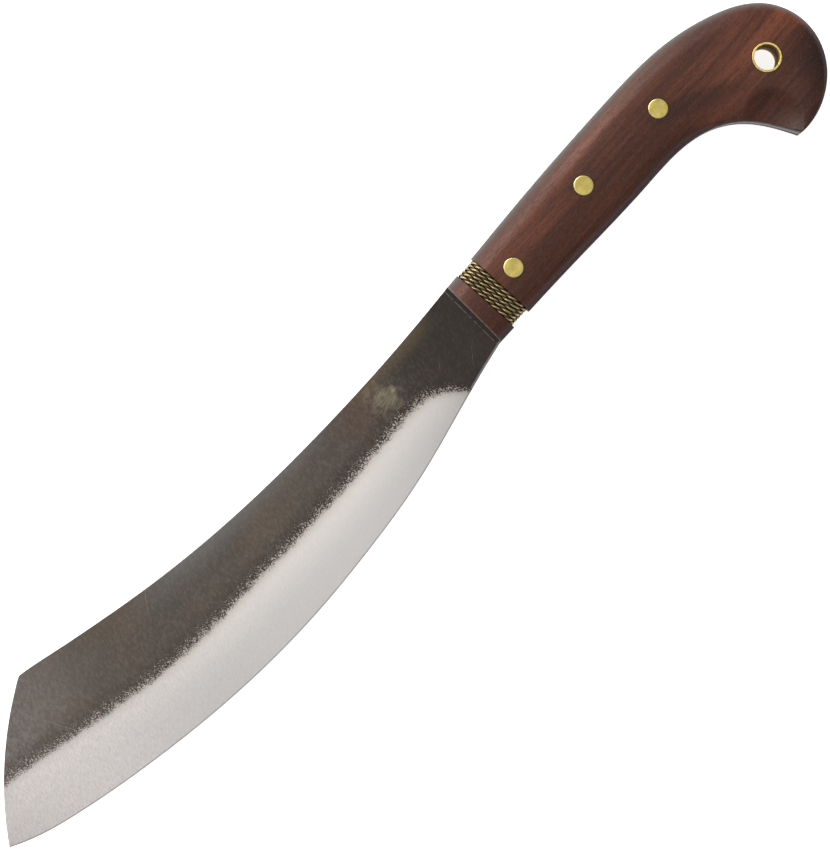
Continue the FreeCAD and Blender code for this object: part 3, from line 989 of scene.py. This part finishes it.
def rivetPaint():
    p = Paint("pinBrass")
    lines = p.noise(1.4, stretch=(5, 0.6, 1), turn=30, detail=4, roughness=0.7)
    cloud = p.noise(0.35, detail=2)
    # painted highlight: a lighter ring round each pin's rim
    rim = 0.0
    for node in pinNodes:
        centre = centreOf(node)
        rim = p.within(p.away(centre.x, centre.y), pinRadius - 0.3, pinRadius, 0.15) + rim
    colour = p.mix(p.ease(cloud, 0.35, 0.65), shade(*brassShades["pin"]), shade(*brassShades["pinCloud"]))
    colour = p.coats(colour, brassShades, {"pinLines": p.ease(lines, 0.45, 0.7) * 0.5, "pinRimHighlight": rim * 0.6})
    return p.finish(
        Base_Color=colour, Metallic=1.0, Roughness=0.36 + lines * 0.12, Normal=p.bump(lines, 0.2, 0.00005))


def tubePaint():
    p = Paint("tubeBrass")
    marks = p.noise(1.1, stretch=(1, 1, 5), detail=4, roughness=0.7)
    inside = p.ease(p.math("ABSOLUTE", p.z), 11.2, 11.7, 1, 0)   # darker and less metallic inside the bore, behind the bright rims
    colour = p.coats(shade(*brassShades["tube"]), brassShades, {
        "tubeMarks": p.ease(marks, 0.4, 0.65), "tubeInside": inside * 0.85})
    rough = inside * 0.5 + 0.3 + marks * 0.12
    return p.finish(
        Base_Color=colour, Metallic=1 - inside * 0.8, Roughness=rough, Normal=p.bump(marks, 0.2, 0.00005))


def wirePaint():
    p = Paint("wireBrass")
    worn = p.noise(1.5, detail=3)
    # dark in the hollows between the strands, brass on their crests: partly patina, partly painted shade
    shown = p.ease(cornerDistance(p) + (worn - 0.5) * 0.4, 0.75, 1.62)
    under = p.ease(p.z, 3, 9.5, 0.55, 0) * p.ease(p.z, -9.5, -3)   # painted shade round the sides, where the patina is also heavier
    stops = zip((0, 0.5, 1), (brassShades[name] for name in ("wireDeep", "wireMiddle", "wireTop")))
    colour = p.ramp(shown - under, [(place, shade(*tint)) for place, tint in stops])
    return p.finish(Base_Color=colour, Metallic=p.ease(shown, 0, 1, 0.3, 1.0), Roughness=0.4 + worn * 0.1)


steel = steelPaint()
wood = woodPaint()
pinBrass = rivetPaint()
tubeBrass = tubePaint()
wireBrass = wirePaint()

place(makeBlade(), steel, "blade_steel", "blade")
print("blade made")
place(scale("leftGrip", 1), wood, "wood", "left_scale")
place(scale("rightGrip", -1), wood, "wood", "right_scale")
print("scales made")
place(rivets(pinBrass), pinBrass, "pin_brass", *pinNodes)
place(makeTube(), tubeBrass, "tube_brass", "lanyard_tube")
print("brass made")

pathMesh = bpy.data.meshes.new("wirePath")
points = wirePath()
pathMesh.from_pydata([p * mm for p in points], [(k, k + 1) for k in range(len(points) - 1)], [])
sizes = {"Strand Radius": wire["strand"], "Lay Length": wire["lay"], "Spacing": wire["spacing"]}
sizes = {name: size * mm for name, size in sizes.items()}
twisted = fromTree("twistedWire", pathMesh, twistTree(wireBrass), sizes)
twisted.data.shade_smooth()
place(twisted, wireBrass, "wire_brass", "wire_wrap")
print("wire made")


studio = {
    "floorReach": 3,
    "floorShade": (240, 240, 242),
    "floorGlow": 0.8,
    "lights": {   # where each stands, its width and height, its power
        "keyLight": ((0.12, -1.35, 1.15), (1.5, 1.0), 33),
        "lowLight": ((0.05, -1.8, 0.4), (1.8, 0.7), 9),
        "topLight": ((0.05, 0.15, 2.4), (1.2, 1.2), 6),
    },
    "aim": (0.05, 0.01, 0),
    "sky": (0.93, 0.95, 1, 1),
    "skyStrength": 0.4,
    "cameraAt": (0.0448, 0.0116, 1.6),
    "cameraRight": (-0.672, 0.741, 0),
    "cameraUp": (-0.741, -0.672, 0),
    "lens": 183.3,
}


def makeFloor():
    mesh = bpy.data.meshes.new("floor")
    level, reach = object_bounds()[0][2], studio["floorReach"]
    corners = [(-reach, -reach, level), (reach, -reach, level), (reach, reach, level), (-reach, reach, level)]
    mesh.from_pydata(corners, [], [(0, 1, 2, 3)])
    made = bpy.data.objects.new("floor", mesh)
    scene.collection.objects.link(made)
    mesh.materials.append(Paint("floorWhite").finish(
        Base_Color=shade(*studio["floorShade"]), Roughness=0.9,
        Emission_Color=(1, 1, 1, 1), Emission_Strength=studio["floorGlow"]))


def areaLight(name, centre, size, power):
    lamp = bpy.data.lights.new(name, "AREA")
    lamp.shape = "RECTANGLE"
    lamp.size, lamp.size_y = size
    lamp.energy = power
    made = bpy.data.objects.new(name, lamp)
    made.location = centre
    made.rotation_euler = (Vector(studio["aim"]) - Vector(centre)).to_track_quat("-Z", "Y").to_euler()
    scene.collection.objects.link(made)


def makeCamera():
    camera = bpy.data.objects.new("camera", bpy.data.cameras.new("camera"))
    scene.collection.objects.link(camera)
    camera.location = studio["cameraAt"]
    right, up = Vector(studio["cameraRight"]), Vector(studio["cameraUp"])
    back = right.cross(up)
    turn = Matrix((right.normalized(), up.normalized(), back.normalized())).transposed()
    camera.rotation_euler = turn.to_euler()
    camera.data.lens = studio["lens"]
    camera.data.sensor_width = 36
    camera.data.clip_end = 20
    scene.camera = camera


makeFloor()
for name, (centre, size, power) in studio["lights"].items():
    areaLight(name, centre, size, power)
world = bpy.data.worlds.new("studio")
world.use_nodes = True
background = world.node_tree.nodes["Background"]
background.inputs["Color"].default_value = studio["sky"]
background.inputs["Strength"].default_value = studio["skyStrength"]
scene.world = world
scene.view_settings.view_transform = "Standard"
makeCamera()
